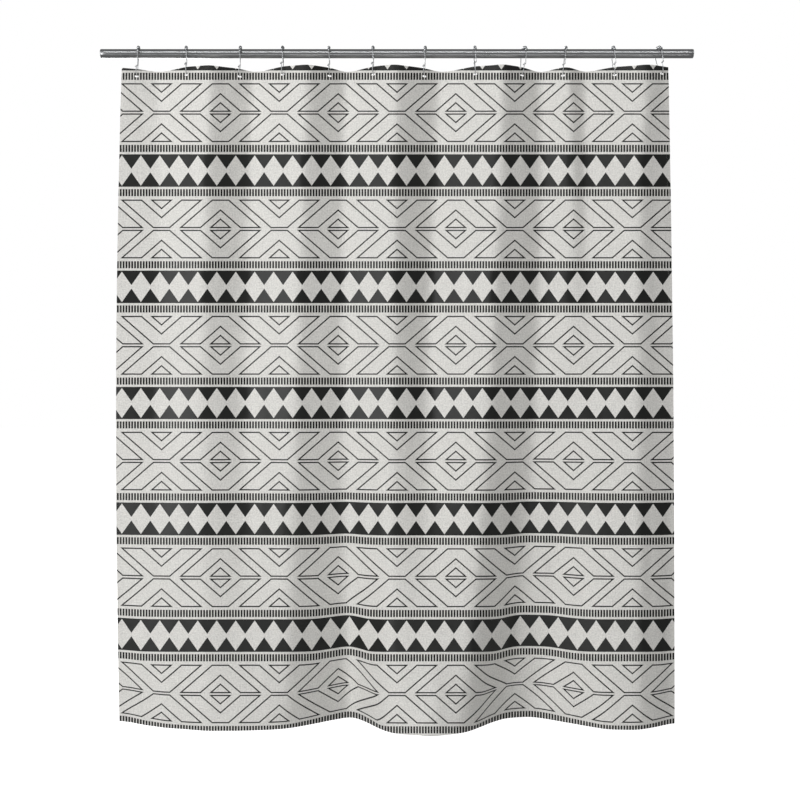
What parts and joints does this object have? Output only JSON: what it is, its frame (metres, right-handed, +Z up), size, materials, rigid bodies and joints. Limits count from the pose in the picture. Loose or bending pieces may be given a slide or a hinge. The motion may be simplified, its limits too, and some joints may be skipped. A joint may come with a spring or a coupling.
{
  "type": "shower curtain",
  "caption": "Fabric shower curtain printed with geometric bands, hanging in soft folds from roller hooks that slide along a straight steel rod.",
  "frame": {"origin": "the middle of the rod, on its axis, which is where the mount rod_support names what holds the part up", "axes": "+X along the rod to the right as seen from the room; +Z up; the printed face of the cloth looks along -Y, towards the room"},
  "size_m": [1.696, 0.1834, 1.942],
  "materials": {
    "rod_steel": "satin",
    "plug_steel": "satin",
    "wire_chrome": "gloss",
    "roller_chrome": "gloss",
    "printed_cloth": "matte"
  },
  "bodies": {
    "rod": {"rod_tube": "rod_steel", "rod_plug_left": "plug_steel", "rod_plug_right": "plug_steel"},
    "curtain": {"curtain_cloth": "printed_cloth"},
    "hook_01": {"hook_01_wire": "wire_chrome", "hook_01_rollers": "roller_chrome"},
    "hook_02": {"hook_02_wire": "wire_chrome", "hook_02_rollers": "roller_chrome"},
    "hook_03": {"hook_03_wire": "wire_chrome", "hook_03_rollers": "roller_chrome"},
    "hook_04": {"hook_04_wire": "wire_chrome", "hook_04_rollers": "roller_chrome"},
    "hook_05": {"hook_05_wire": "wire_chrome", "hook_05_rollers": "roller_chrome"},
    "hook_06": {"hook_06_wire": "wire_chrome", "hook_06_rollers": "roller_chrome"},
    "hook_07": {"hook_07_wire": "wire_chrome", "hook_07_rollers": "roller_chrome"},
    "hook_08": {"hook_08_wire": "wire_chrome", "hook_08_rollers": "roller_chrome"},
    "hook_09": {"hook_09_wire": "wire_chrome", "hook_09_rollers": "roller_chrome"},
    "hook_10": {"hook_10_wire": "wire_chrome", "hook_10_rollers": "roller_chrome"},
    "hook_11": {"hook_11_wire": "wire_chrome", "hook_11_rollers": "roller_chrome"},
    "hook_12": {"hook_12_wire": "wire_chrome", "hook_12_rollers": "roller_chrome"}
  },
  "joints": [
    {"name": "curtain_swing", "type": "hinge", "parent": "rod", "child": "curtain", "pos_m": [0, 0, 0], "axis": [1, 0, 0], "range_deg": [-20, 20]},
    {"name": "curtain_draw", "type": "slide", "parent": "curtain", "child": "hook_12", "axis": [-1, 0, 0], "range_m": [0, 1.0072], "deforming": ["curtain_cloth"]},
    {"name": "hook_01_slide", "type": "slide", "parent": "curtain", "child": "hook_01", "axis": [-1, 0, 0], "range_m": [0, 0.0306]},
    {"name": "hook_02_slide", "type": "slide", "parent": "curtain", "child": "hook_02", "axis": [-1, 0, 0], "range_m": [0, 0.126]},
    {"name": "hook_03_slide", "type": "slide", "parent": "curtain", "child": "hook_03", "axis": [-1, 0, 0], "range_m": [0, 0.2229]},
    {"name": "hook_04_slide", "type": "slide", "parent": "curtain", "child": "hook_04", "axis": [-1, 0, 0], "range_m": [0, 0.3048]},
    {"name": "hook_05_slide", "type": "slide", "parent": "curtain", "child": "hook_05", "axis": [-1, 0, 0], "range_m": [0, 0.3915]},
    {"name": "hook_06_slide", "type": "slide", "parent": "curtain", "child": "hook_06", "axis": [-1, 0, 0], "range_m": [0, 0.4732]},
    {"name": "hook_07_slide", "type": "slide", "parent": "curtain", "child": "hook_07", "axis": [-1, 0, 0], "range_m": [0, 0.5682]},
    {"name": "hook_08_slide", "type": "slide", "parent": "curtain", "child": "hook_08", "axis": [-1, 0, 0], "range_m": [0, 0.6625]},
    {"name": "hook_09_slide", "type": "slide", "parent": "curtain", "child": "hook_09", "axis": [-1, 0, 0], "range_m": [0, 0.7498]},
    {"name": "hook_10_slide", "type": "slide", "parent": "curtain", "child": "hook_10", "axis": [-1, 0, 0], "range_m": [0, 0.8261]},
    {"name": "hook_11_slide", "type": "slide", "parent": "curtain", "child": "hook_11", "axis": [-1, 0, 0], "range_m": [0, 0.9219]}
  ],
  "couplings": [
    {"joint": "hook_01_slide", "follows": "curtain_draw", "ratio": 0.029429},
    {"joint": "hook_02_slide", "follows": "curtain_draw", "ratio": 0.1241},
    {"joint": "hook_03_slide", "follows": "curtain_draw", "ratio": 0.22026},
    {"joint": "hook_04_slide", "follows": "curtain_draw", "ratio": 0.30158},
    {"joint": "hook_05_slide", "follows": "curtain_draw", "ratio": 0.38774},
    {"joint": "hook_06_slide", "follows": "curtain_draw", "ratio": 0.4688},
    {"joint": "hook_07_slide", "follows": "curtain_draw", "ratio": 0.56315},
    {"joint": "hook_08_slide", "follows": "curtain_draw", "ratio": 0.65673},
    {"joint": "hook_09_slide", "follows": "curtain_draw", "ratio": 0.74347},
    {"joint": "hook_10_slide", "follows": "curtain_draw", "ratio": 0.81917},
    {"joint": "hook_11_slide", "follows": "curtain_draw", "ratio": 0.91429}
  ]
}
